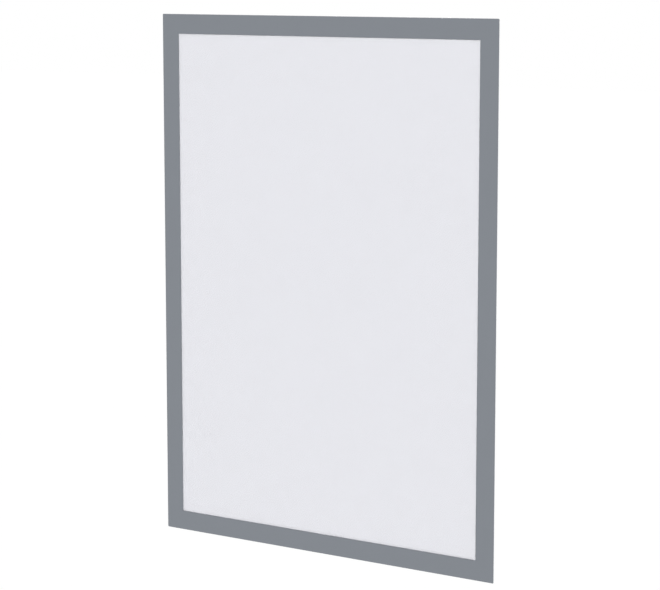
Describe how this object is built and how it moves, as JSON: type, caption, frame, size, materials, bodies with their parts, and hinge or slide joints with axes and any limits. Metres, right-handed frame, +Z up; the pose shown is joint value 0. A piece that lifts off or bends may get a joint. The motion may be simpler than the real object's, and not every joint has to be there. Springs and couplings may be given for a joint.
{
  "type": "self-adhesive display frame",
  "caption": "Thin self-adhesive wall frame that shows a paper sheet behind a clear window. Its cover, held shut by magnet strips, swings open on a film hinge at the left edge.",
  "frame": {"origin": "centre of the back, in the plane where the four adhesive strips meet the wall", "axes": "+Z up along the portrait height, +Y from the viewer into the wall and square to it, +X to the viewer's right; the hinge edge is at -X"},
  "size_m": [0.3232, 0.0019, 0.446],
  "materials": {
    "grey_film": "satin",
    "clear_window_film": "satin",
    "clear_back_film": "gloss",
    "magnet_rubber": "matte",
    "blank_paper": "matte",
    "clear_adhesive": "satin"
  },
  "bodies": {
    "back_panel": {"adhesive_strip_top": "clear_adhesive", "adhesive_strip_bottom": "clear_adhesive", "adhesive_strip_left": "clear_adhesive", "adhesive_strip_right": "clear_adhesive", "back_film": "clear_back_film", "rear_magnet_top": "magnet_rubber", "rear_magnet_bottom": "magnet_rubber", "rear_magnet_left": "magnet_rubber", "rear_magnet_right": "magnet_rubber", "insert_sheet": "blank_paper", "hinge_film": "grey_film"},
    "cover": {"cover_magnet_top": "magnet_rubber", "cover_magnet_bottom": "magnet_rubber", "cover_magnet_left": "magnet_rubber", "cover_magnet_right": "magnet_rubber", "front_window": "clear_window_film", "front_border": "grey_film"}
  },
  "joints": [
    {"name": "cover_hinge", "type": "hinge", "parent": "back_panel", "child": "cover", "pos_m": [-0.1616, -0.00101, 0], "axis": [0, 0, -1], "range_deg": [0, 180], "deforming": ["hinge_film"]}
  ]
}
